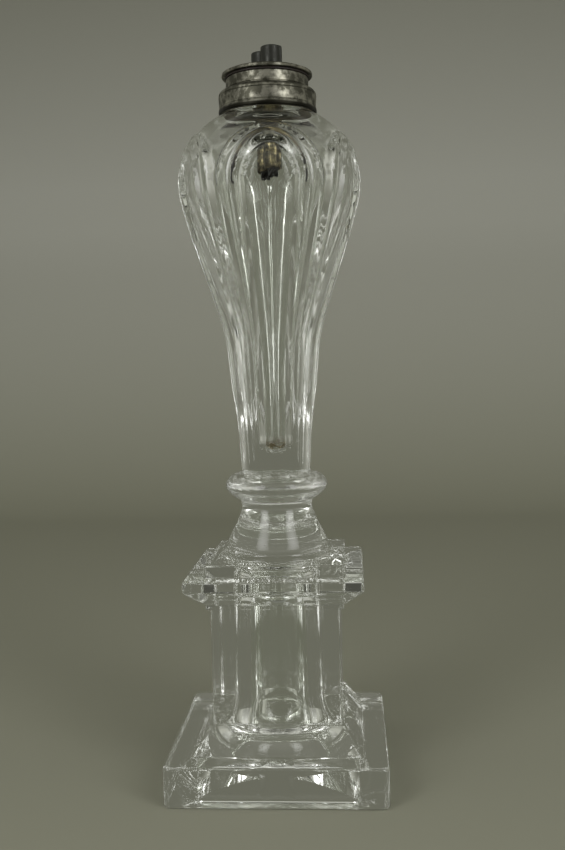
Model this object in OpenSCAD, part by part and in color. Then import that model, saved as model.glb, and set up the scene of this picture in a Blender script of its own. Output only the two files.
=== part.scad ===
// Table lamp of pressed glass: square pedestal with a tall hollow, wafer,
// loop-pattern font, pewter collar and a screw burner with two wick tubes.
// Millimetres, +Z up, origin at the middle of the underside of the foot.

/* [Foot and plinth] */
// Side of the square foot plate
foot_w = 76; // [70:1:90]
// Thickness of the foot plate
foot_h = 14; // [12:0.5:18]
// Radius of the upright corners of the foot
foot_corner = 2.4; // [1:0.2:4]
// Small bevel round the top and bottom edges of the foot
foot_bevel = 0.8; // [0.4:0.1:1.5]
// Side of the plinth where it meets the foot
plinth_low_w = 58.8; // [54:0.2:64]
// Side of the plinth under the column
plinth_top_w = 47; // [45.6:0.2:50]
// Height of the sloped plinth
plinth_h = 9.2; // [6:0.2:14]

/* [Column and capital] */
// Side of the square column
column_w = 44.8; // [42:0.2:45.4]
// Height of the column between plinth and capital
column_h = 40.8; // [30:0.2:60]
// Radius of the upright edges of the column
column_corner = 1.2; // [0.6:0.2:3]
// Side of the thin moulding under the capital
moulding_w = 47.8; // [46:0.2:52]
// Height of that moulding
moulding_h = 1.5; // [1:0.1:3]
// Side of the capital plate
capital_w = 61.6; // [56:0.2:66]
// Height of the sloped underside of the capital
capital_slope_h = 5.9; // [3:0.1:9]
// Height of the upright edge of the capital
capital_edge_h = 3.6; // [2:0.1:6]
// Side of the raised step on the capital
step_w = 48.4; // [46:0.2:54]
// Height of the raised step
step_h = 4.4; // [3:0.1:7]

/* [Plunger hollow] */
// Side of the square mouth under the foot
mouth_w = 56; // [50:0.5:60]
// Radius of the corners of the mouth
mouth_corner = 2.6; // [1:0.2:5]
// Height at which the round flare touches the sides of the mouth
flare_rim_h = 8.2; // [4:0.2:11]
// Radius of the rounded shoulder between the flare and the hollow
flare_shoulder_r = 20.8; // [18:0.2:22]
// Height of that shoulder
flare_shoulder_h = 19.9; // [14:0.1:21]
// Radius of the hollow where the flare begins
hollow_low_r = 16.3; // [13:0.1:17]
// Height where the flare begins
flare_top_h = 30; // [24:0.5:36]
// Radius of the hollow near its top
hollow_top_r = 15.4; // [12:0.1:16.2]
// Glass left between the top of the hollow and the top of the step
hollow_roof = 1.8; // [0.8:0.1:4]
// Radius of the rounded end of the hollow
hollow_end_r = 5; // [2:0.5:9]

/* [Bell and wafer] */
// Radius of the bell where it stands on the step
bell_foot_r = 19.9; // [17:0.1:22]
// Radius of the neck of the bell
bell_neck_r = 12.7; // [11:0.1:15]
// Height of the bell from step to wafer
bell_h = 20; // [14:0.5:28]
// Height of the upright edge at the foot of the bell
bell_edge_h = 2.4; // [1:0.1:4]
// Width of the small step above that edge
bell_step_w = 0.6; // [0.2:0.1:1.5]
// Height of the curve of the bell, up to its neck
bell_curve_h = 15.6; // [10:0.2:16]
// Radius of the joining wafer
wafer_r = 18.3; // [16:0.1:22]
// Height of the joining wafer
wafer_h = 9.6; // [7:0.2:13]
// Height of its rounded rim
wafer_rim_h = 6; // [4:0.2:6.8]

/* [Font] */
// Height of the font from wafer to shoulder
font_h = 126.6; // [110:1:140]
// Radius of the stem of the font at the wafer
stem_r = 12.3; // [11:0.1:13.4]
// Radius of the font at its widest, without the loops
font_r = 30.3; // [28:0.1:36]
// Radius of the shoulder under the collar
shoulder_r = 16; // [15.4:0.1:17]
// Number of loops round the font
loops = 5; // [4:1:8]
// Turn of the font against the square foot
font_turn = 4.5; // [0:0.5:36]
// How far the rim of a loop stands out at the widest part
rim_proud = 2.8; // [0.5:0.1:3.2]
// How deep the panel inside a loop is dished
panel_dish = 0.6; // [0:0.1:1.6]
// Width of a panel as a share of the width of its loop
panel_share = 0.46; // [0.35:0.01:0.65]
// How full the rims are: 1 is a plain half wave, and less has a flatter top
rim_fullness = 0.5; // [0.4:0.05:1.2]
// Width of the groove that runs along the middle of a rim, as a share of the rim
groove_share = 0.5; // [0.3:0.05:0.6]
// Depth of that groove, as a share of the rim
groove_depth = 0.6; // [0:0.05:0.7]
// Crown of the outer arch, below the shoulder along the glass
outer_crown = 13; // [10:0.5:18]
// Height of the outer arch from spring to crown, along the glass
outer_head = 19; // [12:0.5:26]
// Crown of the inner arch, below the shoulder along the glass
inner_crown = 20; // [17:0.5:26]
// Height of the inner arch from spring to crown, along the glass
inner_head = 15; // [9:0.5:22]
// Share of the relief with which the loops begin at the shoulder
crown_share = 0.5; // [0.1:0.05:1]
// They grow from this far below the shoulder, along the glass
crown_from = 10; // [4:1:14]
// They are full from this far below it
crown_to = 30; // [20:1:36]
// Height above the wafer at which the loops begin to fade into the stem
loop_foot_h = 31; // [20:1:40]
// Height over which they fade
loop_fade_h = 14; // [4:1:18]
// Share of the loops that is left as ribs on the stem
stem_rib_share = 0.3; // [0:0.05:0.6]
// Wall of the font at its widest
font_wall = 4; // [3:0.2:6]
// Glass below the cavity, above the wafer
font_floor = 7; // [4:0.5:14]
// Radius of the cavity low in the stem
cavity_low_r = 4; // [3:0.2:6]
// Radius of the glass neck inside the collar
neck_r = 14.6; // [14:0.1:15]
// Height of that glass neck above the shoulder
neck_h = 5.8; // [4:0.2:8]
// Radius of the mouth in the glass neck
mouth_r = 12.2; // [11.9:0.1:12.8]

/* [Collar] */
// Outer radius of the skirt of the collar
skirt_r = 17.4; // [16.8:0.1:19]
// Height of the skirt
skirt_h = 7; // [6.6:0.1:9]
// Wall of the skirt
skirt_wall = 0.9; // [0.6:0.1:1.4]
// Outer radius of the neck of the collar
collar_neck_r = 14.6; // [13.6:0.1:15.4]
// Height of the neck of the collar
collar_neck_h = 4; // [3:0.1:6]
// Height of the rounded shoulder between skirt and neck
collar_shoulder_h = 1.4; // [1:0.1:2.6]
// Clearance between plaster and its neighbours
cement_clearance = 0.15; // [0.05:0.05:0.3]

/* [Burner] */
// Outer radius of the burner disc
disc_r = 16; // [14.5:0.1:18]
// Thickness of the disc at its edge
disc_edge_h = 1.2; // [0.8:0.1:2]
// Rise of the disc from its edge to the tubes
disc_crown = 0.9; // [0.3:0.1:2]
// Radius of the flat part of the disc round the tubes
disc_flat_r = 10.3; // [10:0.1:12]
// Outer radius of the screw plug
plug_r = 11.4; // [10.8:0.1:11.6]
// Wall of the screw plug
plug_wall = 1.7; // [1.2:0.1:2]
// Height of the screw plug
plug_h = 7.6; // [5:0.1:8]
// Radial clearance of the plug in the collar
screw_clearance = 0.1; // [0.05:0.05:0.3]
// Radius of the air hole in the disc
vent_r = 0.8; // [0.5:0.1:1.2]
// Clearance of the washer round the plug
washer_clearance = 0.3; // [0.2:0.1:0.6]
// Thickness of the leather washer
washer_h = 0.7; // [0.5:0.1:1.5]
// Outer radius of the leather washer
washer_r = 15; // [13.8:0.1:15.4]

/* [Tubes and wicks] */
// Outer diameter of a wick tube
tube_d = 7.6; // [6:0.1:8.4]
// Sheet thickness of a wick tube
tube_wall = 0.55; // [0.4:0.05:0.8]
// Height of a tube above the disc edge
tube_above = 8.4; // [6:0.2:20]
// Length of a tube below the disc edge
tube_below = 32.4; // [20:0.2:60]
// Gap between the two tubes
tube_gap = 0.6; // [0.4:0.1:1.2]
// Turn of the pair of tubes away from front and back
tube_turn = 28; // [0:1:90]
// Clearance of a tube in its hole
tube_clearance = 0.1; // [0.05:0.05:0.2]
// Width and height of the bead of solder
solder_w = 1.1; // [0.6:0.1:1.5]
// Clearance between a tube and the solder
solder_clearance = 0.05; // [0.02:0.01:0.1]
// Clearance of the wick in its tube
wick_clearance = 0.1; // [0.05:0.05:0.3]
// How far the wick stands back from the lip of the tube
wick_set_back = 1.2; // [0.5:0.1:4]
// How far the wick hangs below the tube
wick_tail = 2.6; // [1:0.2:20]
// Radius of the hanging end of the wick
wick_tail_r = 2.3; // [1.6:0.1:2.8]
// Bevel round the ends of the wick
wick_bevel = 0.5; // [0.2:0.1:0.8]

/* [Hidden] */
$fn = 96;
corner_fn = 32;
overlap = 0.5; // how far joined solids of one body run into each other
reach = 1; // how far a cutting solid runs past what it cuts

column_z = foot_h + plinth_h;
moulding_z = column_z + column_h;
slope_z = moulding_z + moulding_h;
capital_z = slope_z + capital_slope_h;
step_z = capital_z + capital_edge_h;
bell_z = step_z + step_h;
wafer_z = bell_z + bell_h;
font_z = wafer_z + wafer_h;
shoulder_z = font_z + font_h;
neck_top_z = shoulder_z + neck_h;
collar_shoulder_z = shoulder_z + skirt_h;
collar_neck_z = collar_shoulder_z + collar_shoulder_h;
washer_z = collar_neck_z + collar_neck_h;
disc_z = washer_z + washer_h;
disc_top_z = disc_z + disc_edge_h + disc_crown;
lip_z = disc_z + disc_edge_h + tube_above;
tube_foot_z = disc_z - tube_below;
hollow_top_z = bell_z - hollow_roof;

collar_bore_r = plug_r + screw_clearance;
tube_r = tube_d / 2;
tube_bore_r = tube_r - tube_wall;
tube_seat_r = tube_r + tube_clearance;
wick_r = tube_bore_r - wick_clearance;
tube_spread = (tube_d + tube_gap) / 2;

// Outline of the font between wafer and shoulder: share of its height, and
// share of the way from the radius of the stem to the widest radius
font_outline = [[0, 0], [0.055, 0.017], [0.15, 0.056], [0.229, 0.089], [0.316, 0.139],
    [0.371, 0.178], [0.427, 0.261], [0.482, 0.372], [0.541, 0.5], [0.656, 0.756], [0.766, 0.961],
    [0.8215, 1], [0.877, 0.95], [0.916, 0.844], [0.956, 0.65], [0.983, 0.417],
    [1, (shoulder_r - stem_r) / (font_r - stem_r)]];
// Outline of the cavity, in shares of its own height and width, and the share of
// its height at which it meets the mouth
cavity_outline = [[0.045, 0], [0.11, 0.025], [0.21, 0.08], [0.32, 0.16], [0.41, 0.28],
    [0.51, 0.455], [0.61, 0.65], [0.7, 0.85], [0.76, 0.965], [0.805, 1], [0.85, 0.975],
    [0.89, 0.87], [0.925, 0.69], [0.95, 0.47]];
cavity_bend = 0.965;
rim_thinning = 0.8; // loops are lower where the font is thinner, by this power of its radius

// Value of a smooth curve at share t between b and c, with neighbours a and d
function smooth(a, b, c, d, t) = 0.5 * (2 * b + (c - a) * t
    + (2 * a - 5 * b + 4 * c - d) * t * t + (3 * b - a - 3 * c + d) * t * t * t);

// Smooth curve through all points, with some steps between each pair
function curve(p, steps) = [
    for (i = [0:len(p) - 2], k = [0:steps - 1])
        smooth(p[max(i - 1, 0)], p[i], p[i + 1], p[min(i + 2, len(p) - 1)], k / steps),
    p[len(p) - 1]];

// Round corner from a point on an upright line to one on a level line
function round_over(r0, z0, r1, z1, steps = 8) = [for (i = [0:steps])
    [r1 + (r0 - r1) * cos(90 * i / steps), z0 + (z1 - z0) * sin(90 * i / steps)]];

// Round corner from a point on a level line to one on an upright line
function round_up(r0, z0, r1, z1, steps = 8) = [for (i = [0:steps])
    [r0 + (r1 - r0) * sin(90 * i / steps), z1 + (z0 - z1) * cos(90 * i / steps)]];

// Round end of a hollow, from its middle on the axis out to an upright wall
function round_end(r, z, steps = 6) = [for (i = [1:steps])
    [r * sin(90 * i / steps), z + r * (1 - cos(90 * i / steps))]];

// Upright prism with a square outline and rounded corners
module rounded_prism(w, h, corner) {
    inner = w - 2 * corner;
    translate([-w / 2, -inner / 2, 0]) cube([w, inner, h]);
    translate([-inner / 2, -w / 2, 0]) cube([inner, w, h]);
    for (x = [-1, 1], y = [-1, 1])
        translate([x * inner / 2, y * inner / 2, 0])
            cylinder(r = corner, h = h, $fn = corner_fn);
}

// Square block whose side changes evenly from low_w to top_w
module tapered_block(low_w, top_w, h, corner) {
    skin = 0.01;
    hull() {
        rounded_prism(low_w, skin, corner);
        translate([0, 0, h - skin]) rounded_prism(top_w, skin, corner);
    }
}

module revolve(outline) {
    rotate_extrude() polygon(outline);
}

// Square plate with a small bevel round its top and bottom
module foot_plate() {
    inner_w = foot_w - 2 * foot_bevel;
    tapered_block(inner_w, foot_w, foot_bevel, foot_corner);
    translate([0, 0, foot_bevel]) rounded_prism(foot_w, foot_h - 2 * foot_bevel, foot_corner);
    translate([0, 0, foot_h - foot_bevel]) tapered_block(foot_w, inner_w, foot_bevel, foot_corner);
}

module capital() {
    translate([0, 0, moulding_z]) rounded_prism(moulding_w, moulding_h, column_corner);
    translate([0, 0, slope_z])
        tapered_block(moulding_w, capital_w, capital_slope_h, column_corner);
    translate([0, 0, capital_z]) rounded_prism(capital_w, capital_edge_h, column_corner);
    translate([0, 0, step_z - overlap])
        rounded_prism(step_w, step_h + overlap, column_corner);
}

// Concave bell that rises from the step to the wafer
module bell() {
    edge_z = bell_z + bell_edge_h;
    revolve(concat(
        [[0, bell_z - overlap], [bell_foot_r, bell_z - overlap], [bell_foot_r, edge_z]],
        round_up(bell_foot_r - bell_step_w, edge_z + bell_step_w, bell_neck_r,
            bell_z + bell_curve_h),
        [[bell_neck_r, wafer_z], [0, wafer_z]]));
}

// Square mouth, round flare with a rounded shoulder, and a straight hollow up to the step
module plunger_hollow() {
    mouth_corner_r = mouth_w / sqrt(2);
    end_z = hollow_top_z - hollow_end_r;
    intersection() {
        translate([0, 0, -reach])
            rounded_prism(mouth_w, hollow_top_z + 2 * reach, mouth_corner);
        revolve(concat(
            [[0, -reach], [mouth_corner_r, -reach], [mouth_corner_r, foot_bevel]],
            round_over(mouth_w / 2, flare_rim_h, flare_shoulder_r, flare_shoulder_h),
            round_up(flare_shoulder_r, flare_shoulder_h, hollow_low_r, flare_top_h),
            round_over(hollow_top_r, end_z, hollow_top_r - hollow_end_r, hollow_top_z),
            [[0, hollow_top_z]]));
    }
}

module pedestal_base() {
    color("azure", 0.5) difference() {
        union() {
            foot_plate();
            translate([0, 0, foot_h])
                tapered_block(plinth_low_w, plinth_top_w, plinth_h, column_corner);
            translate([0, 0, foot_h / 2])
                rounded_prism(column_w, moulding_z - foot_h / 2 + overlap, column_corner);
            capital();
            bell();
        }
        plunger_hollow();
    }
}

// Rounded ring with a short neck below and above
module joining_wafer() {
    rim_r = wafer_rim_h / 2;
    middle_z = wafer_z + wafer_h / 2;
    color("azure", 0.5) revolve(concat(
        [[0, wafer_z], [bell_neck_r, wafer_z]],
        [for (a = [-90:15:90])
            [wafer_r - rim_r + rim_r * cos(a), middle_z + rim_r * sin(a)]],
        [[stem_r, font_z], [0, font_z]]));
}

// Rings of the font from the wafer up: radius and height
font_rings = [for (p = curve(font_outline, 3))
    [stem_r + (font_r - stem_r) * p[1], font_z + font_h * p[0]]];
last_ring = len(font_rings) - 1;
// Length of the outline between ring i and the shoulder
function run_to_top(i) = i >= last_ring ? 0
    : norm(font_rings[i + 1] - font_rings[i]) + run_to_top(i + 1);
// Direction in which the outline faces at ring i
function facing(i) = let (along = font_rings[min(i + 1, last_ring)] - font_rings[max(i - 1, 0)])
    [along[1], -along[0]] / norm(along);
// An arch is half an ellipse on two straight sides. This is 1 on the arch, less
// inside it and more outside: a is the share of half a loop from its middle, and
// run is the distance below the shoulder.
function in_arch(a, run, width, crown, head) =
    sqrt(pow(a / width, 2) + pow(max(0, crown + head - run) / head, 2));
// Height of a rim across its width, from 0 to 1: full, with a groove along the middle
function across_rim(t) = pow(max(0, sin(180 * t)), rim_fullness)
    * (1 - groove_depth * max(0, 1 - pow((t - 0.5) / (groove_share / 2), 2)));
// Relief of a loop: a rim between two arches, and a dished panel in the inner one
function loop_relief(a, run) =
    let (outer = in_arch(a, run, 1, outer_crown, outer_head),
        inner = in_arch(a, run, panel_share, inner_crown, inner_head),
        from_panel = max(0, panel_share * (inner - 1)), to_edge = max(0, 1 - outer))
    outer >= 1 ? 0 : inner < 1 ? -panel_dish * (1 - pow(inner, 2))
    : rim_proud * across_rim(from_panel / (from_panel + to_edge));
// A smooth rise from 0 to 1
function smooth_rise(t) = let (u = min(1, max(0, t))) u * u * (3 - 2 * u);

// Pressed outside of the font, with the glass neck on top
module font_outside() {
    steps = 20;
    sides = loops * steps;
    fade_z = font_z + loop_foot_h;
    rings = [for (i = [0:last_ring])
        let (r = font_rings[i][0], z = font_rings[i][1], run = run_to_top(i),
            left = min(1, max(stem_rib_share,
                1 - (1 - stem_rib_share) * (fade_z - z) / loop_fade_h)),
            begun = min(1, (z - font_z) / wafer_h),
            grown = crown_share + (1 - crown_share)
                * smooth_rise((run - crown_from) / (crown_to - crown_from)),
            amount = left * begun * grown * pow(r / font_r, rim_thinning))
        [for (k = [0:sides - 1])
            let (a = abs((k + steps / 2) % steps - steps / 2) / (steps / 2),
                q = font_rings[i] + amount * loop_relief(a, run) * facing(i),
                turn = 360 * k / sides + font_turn)
            [q[0] * sin(turn), -q[0] * cos(turn), q[1]]]];
    neck = [for (z = [shoulder_z, neck_top_z])
        [for (k = [0:sides - 1])
            let (turn = 360 * k / sides + font_turn)
            [neck_r * sin(turn), -neck_r * cos(turn), z]]];
    all_rings = concat(rings, neck);
    last = len(all_rings) - 1;
    points = [for (ring = all_rings, p = ring) p];
    sides_faces = [for (i = [0:last - 1], k = [0:sides - 1], half = [0, 1])
        let (a = i * sides + k, b = i * sides + (k + 1) % sides)
        half == 0 ? [a, b + sides, b] : [a, a + sides, b + sides]];
    bottom = [for (k = [0:sides - 1]) k];
    top = [for (k = [sides - 1:-1:0]) last * sides + k];
    polyhedron(points, concat(sides_faces, [bottom, top]));
}

// Blown cavity: round end in the stem, widest behind the loops, open neck
module font_cavity() {
    floor_z = font_z + font_floor;
    tall = shoulder_z - floor_z;
    wide = font_r - font_wall - cavity_low_r;
    bend_z = floor_z + cavity_bend * tall;
    revolve(concat(
        [[0, floor_z]],
        round_end(cavity_low_r, floor_z),
        curve([for (p = cavity_outline) [cavity_low_r + wide * p[1], floor_z + tall * p[0]]], 3),
        [[mouth_r, bend_z], [mouth_r, neck_top_z + reach], [0, neck_top_z + reach]]));
}

module font() {
    color("azure", 0.5) difference() {
        font_outside();
        font_cavity();
    }
}

// Plaster ring between the glass neck and the skirt of the collar
module collar_cement() {
    inner_r = neck_r + cement_clearance;
    outer_r = skirt_r - skirt_wall - cement_clearance;
    color("ivory") revolve([[inner_r, shoulder_z], [outer_r, shoulder_z],
        [outer_r, neck_top_z], [inner_r, neck_top_z]]);
}

// Turned collar: skirt over the glass neck, rounded shoulder, bored neck
module collar() {
    inner_r = skirt_r - skirt_wall;
    seat_z = neck_top_z + cement_clearance;
    color("dimgray") revolve(concat(
        [[collar_bore_r, seat_z], [inner_r, seat_z], [inner_r, shoulder_z],
            [skirt_r, shoulder_z]],
        round_over(skirt_r, collar_shoulder_z, collar_neck_r, collar_neck_z),
        [[collar_neck_r, washer_z], [collar_bore_r, washer_z]]));
}

module leather_washer() {
    inner_r = plug_r + washer_clearance;
    color("saddlebrown") revolve([[inner_r, washer_z], [washer_r, washer_z],
        [washer_r, disc_z], [inner_r, disc_z]]);
}

// Puts its children on the axis of one tube: side is -1 in front, 1 behind
module at_tube(side) {
    rotate([0, 0, tube_turn]) translate([0, side * tube_spread, 0]) children();
}

// Domed disc and screw plug in one casting, with holes for tubes and air
module burner_cap() {
    hole_from = disc_z - reach;
    hole_h = disc_top_z - disc_z + 2 * reach;
    vent_out = (plug_r - plug_wall + tube_r) / 2;
    color("gray") difference() {
        revolve(concat(
            [[0, disc_z], [plug_r - plug_wall, disc_z],
                [plug_r - plug_wall, disc_z - plug_h], [plug_r, disc_z - plug_h],
                [plug_r, disc_z], [disc_r, disc_z]],
            round_over(disc_r, disc_z + disc_edge_h, disc_flat_r, disc_top_z),
            [[0, disc_top_z]]));
        for (side = [-1, 1])
            at_tube(side) translate([0, 0, hole_from]) cylinder(r = tube_seat_r, h = hole_h);
        rotate([0, 0, tube_turn]) translate([vent_out, 0, hole_from])
            cylinder(r = vent_r, h = hole_h);
    }
}

// Bead of solder round both tubes on the disc
module tube_solder() {
    bead_top_r = tube_r + 0.2;
    color("silver") difference() {
        union() {
            for (side = [-1, 1])
                at_tube(side) translate([0, 0, disc_top_z])
                    cylinder(r1 = tube_r + solder_w, r2 = bead_top_r, h = solder_w);
        }
        for (side = [-1, 1])
            at_tube(side) translate([0, 0, disc_top_z - reach])
                cylinder(r = tube_r + solder_clearance, h = solder_w + 2 * reach);
    }
}

module wick_tube(side) {
    color("darkkhaki") at_tube(side) revolve([[tube_bore_r, tube_foot_z],
        [tube_r, tube_foot_z], [tube_r, lip_z], [tube_bore_r, lip_z]]);
}

// Wick, full in the tube and frayed to a thinner tail below it
module wick(side) {
    tail_z = tube_foot_z - wick_tail;
    top_z = lip_z - wick_set_back;
    color("tan") at_tube(side) revolve([[0, tail_z], [wick_tail_r - wick_bevel, tail_z],
        [wick_tail_r, tail_z + wick_bevel], [wick_tail_r, tube_foot_z],
        [wick_r, tube_foot_z + wick_r - wick_tail_r], [wick_r, top_z - wick_bevel],
        [wick_r - wick_bevel, top_z], [0, top_z]]);
}

module wick_tube_front() { wick_tube(-1); }
module wick_tube_rear() { wick_tube(1); }
module wick_front() { wick(-1); }
module wick_rear() { wick(1); }

pedestal_base();
joining_wafer();
font();
collar_cement();
collar();
leather_washer();
burner_cap();
tube_solder();
wick_tube_front();
wick_tube_rear();
wick_front();
wick_rear();
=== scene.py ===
# %% [markdown]
# # A pressed glass table lamp with a two-tube screw burner
# The lamp stands on a square pedestal of pressed glass. A wafer of hot glass
# joins the pedestal to the font, which holds the fuel and carries five tall
# loops. A pewter collar is cemented on the neck of the font, and the burner
# screws into it. This script builds the looks of each piece round the solids
# of the CAD model, which stay as they are and carry the motion.

# %% Load the solids that everything is built round
import math

import bmesh
import bpy
import numpy as np
from mathutils import Matrix, Vector


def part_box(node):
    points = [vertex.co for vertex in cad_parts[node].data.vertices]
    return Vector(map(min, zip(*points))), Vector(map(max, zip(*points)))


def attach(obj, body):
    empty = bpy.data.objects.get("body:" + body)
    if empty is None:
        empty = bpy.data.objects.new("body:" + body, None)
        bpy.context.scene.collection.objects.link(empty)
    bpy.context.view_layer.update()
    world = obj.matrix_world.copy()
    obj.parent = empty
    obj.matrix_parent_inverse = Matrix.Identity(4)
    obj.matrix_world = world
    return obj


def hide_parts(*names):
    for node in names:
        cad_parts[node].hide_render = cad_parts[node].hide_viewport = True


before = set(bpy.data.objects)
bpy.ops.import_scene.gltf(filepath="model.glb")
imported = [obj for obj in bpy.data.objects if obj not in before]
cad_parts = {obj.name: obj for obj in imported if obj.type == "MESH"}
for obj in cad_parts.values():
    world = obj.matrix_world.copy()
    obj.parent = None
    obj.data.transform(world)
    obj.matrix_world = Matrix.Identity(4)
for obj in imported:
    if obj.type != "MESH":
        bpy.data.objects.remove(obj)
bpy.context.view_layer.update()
scene = bpy.context.scene
MM = 0.001
print("solids:", sorted(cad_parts))

# %% [markdown]
# ## Two small tools for materials and node trees
# A colour is written as the hex value that a paint program shows. Blender
# works in linear light, so one function turns the one into the other. Every
# shader and every Geometry Nodes tree below is built by one other function,
# which adds a node, sets it and links what feeds it. A bare number goes on the
# socket, and a node that is passed in is linked by its first output.

# %% Colours, nodes and node trees
MATH, VECTOR_MATH = "ShaderNodeMath", "ShaderNodeVectorMath"


def colour(hex_code):
    """Linear red, green, blue and alpha of an sRGB hex colour."""
    shares = [int(hex_code[i : i + 2], 16) / 255 for i in (1, 3, 5)]
    linear = [c / 12.92 if c <= 0.04045 else ((c + 0.055) / 1.055) ** 2.4 for c in shares]
    return (*linear, 1.0)


def add(tree, kind, *inputs, sockets=None, **settings):
    """One new node. inputs fill its sockets in order, sockets fills them by name."""
    node = tree.nodes.new(kind)
    for name, value in settings.items():
        setattr(node, name, value)
    for key, value in [*enumerate(inputs), *(sockets or {}).items()]:
        if isinstance(value, bpy.types.Node):
            value = next(o for o in value.outputs if o.enabled)
        if isinstance(value, bpy.types.NodeSocket):
            tree.links.new(value, node.inputs[key])
        elif value is not None:
            node.inputs[key].default_value = value
    return node


def new_material(name, **principled):
    """A material, its tree and its Principled shader with these values set."""
    material = bpy.data.materials.new(name)
    material.use_nodes = True
    shader = material.node_tree.nodes["Principled BSDF"]
    for socket, value in principled.items():
        shader.inputs[socket.replace("_", " ")].default_value = value
    return material, material.node_tree, shader


def new_geometry_tree(name, **inputs):
    """A Geometry Nodes tree with named inputs, and its input node."""
    tree = bpy.data.node_groups.new(name, "GeometryNodeTree")
    kinds = {int: "NodeSocketInt", float: "NodeSocketFloat", bpy.types.Material: "NodeSocketMaterial"}
    tree.interface.new_socket("Geometry", in_out="INPUT", socket_type="NodeSocketGeometry")
    tree.interface.new_socket("Geometry", in_out="OUTPUT", socket_type="NodeSocketGeometry")
    for label, value in inputs.items():
        socket = tree.interface.new_socket(
            label.replace("_", " "), in_out="INPUT", socket_type=kinds[type(value)])
        socket.default_value = value
    return tree, add(tree, "NodeGroupInput")


def grow(thing, tree):
    """Runs a Geometry Nodes tree on a piece and keeps the result as its mesh."""
    modifier = thing.modifiers.new(tree.name, "NODES")
    modifier.node_group = tree
    seen = thing.evaluated_get(bpy.context.evaluated_depsgraph_get())
    mesh = bpy.data.meshes.new_from_object(seen)
    thing.modifiers.clear()
    thing.data = mesh
    print(f"{thing.name}: {tree.name} gave {len(mesh.vertices)} points")
    return thing


# %% [markdown]
# ## The camera
# The photograph was taken a little above half height, some 0.36 m from the
# lamp, with the lamp turned by about four degrees. The three directions of the
# camera are worked out from its heading, its tilt down and its small roll.

# %% Place the camera
CAMERA_AWAY, CAMERA_ASIDE, CAMERA_HEIGHT = 0.35888, 0.00266, 0.15046
HEADING, TILT, ROLL = 0.0671, 0.0689, 0.0233
FOCAL_PIXELS, PICTURE_HEIGHT, SENSOR = 993.42, 850, 24.0


def turned(x, y):
    """A level direction or place, from the camera's heading to the lamp's."""
    return Vector((x * math.cos(HEADING) - y * math.sin(HEADING),
                   x * math.sin(HEADING) + y * math.cos(HEADING), 0))


ahead, aside, upward = turned(0, 1), turned(1, 0), Vector((0, 0, 1))
look = ahead * math.cos(TILT) - upward * math.sin(TILT)
lift = ahead * math.sin(TILT) + upward * math.cos(TILT)
camera_right = aside * math.cos(ROLL) - lift * math.sin(ROLL)
camera_up = aside * math.sin(ROLL) + lift * math.cos(ROLL)
camera = bpy.data.objects.new("camera", bpy.data.cameras.new("camera"))
scene.collection.objects.link(camera)
scene.camera = camera
camera.data.sensor_width = SENSOR
camera.data.lens = FOCAL_PIXELS * SENSOR / PICTURE_HEIGHT
camera_place = turned(CAMERA_ASIDE, -CAMERA_AWAY) + upward * CAMERA_HEIGHT
camera.matrix_world = Matrix((
    (camera_right.x, camera_up.x, -look.x, camera_place.x),
    (camera_right.y, camera_up.y, -look.y, camera_place.y),
    (camera_right.z, camera_up.z, -look.z, camera_place.z),
    (0, 0, 0, 1)))
print("lens in mm:", round(camera.data.lens, 2))

# %% [markdown]
# ## Floor, backdrop and light
# Clear glass shows what stands behind and under it, so the backdrop matters
# as much as the glass. One sheet lies flat under the lamp and curves up behind
# it, as photographers' paper does. Two soft boxes stand in front to the left
# and to the right, which give the paired highlights of the photograph. The
# rest of the light is the room: a pale ceiling, greyer walls to the sides, a
# dark end behind the camera and a dark patch straight overhead. Without that
# patch every flat top of the glass would mirror a white square. Rays that come
# to the paper through glass or off metal meet its plain tone, because no lamp
# reaches the paper through the glass unless the light is traced the slow way
# round. That tone is paler far out to the sides, where windows would light the
# paper, which draws the pale bands in the column.

# %% Paper sweep, lamps and the light of the room
# The paper is painted paler up the wall and darker again high up: painted light and painted shade, not a change in the
# paper itself.
PAPER_FLOOR, PAPER_WALL_PAINTED_LIGHT, PAPER_TOP_PAINTED_SHADE = "#90907f", "#c4c4bc", "#868678"
PAPER_LOW = -0.3 * MM  # a hair under the foot, so that two faces never lie in one plane
COVE_START, COVE_RADIUS = 0.55, 0.25


def mesh_piece(name, points, faces, material, smooth_angle=None):
    """A new piece from points in metres and faces, smooth but for sharper edges."""
    mesh = bpy.data.meshes.new(name)
    mesh.from_pydata([tuple(p) for p in points], [], [tuple(f) for f in faces])
    mesh.materials.append(material)
    thing = bpy.data.objects.new(name, mesh)
    scene.collection.objects.link(thing)
    if smooth_angle is not None:
        mesh.shade_smooth()
        mesh.set_sharp_from_angle(angle=math.radians(smooth_angle))
    return thing


paper, tree, shader = new_material("backdrop_paper", Base_Color=colour(PAPER_FLOOR), Roughness=0.9)
aside, _, height = add(tree, "ShaderNodeSeparateXYZ",
                       add(tree, "ShaderNodeTexCoord").outputs["Object"]).outputs
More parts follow.
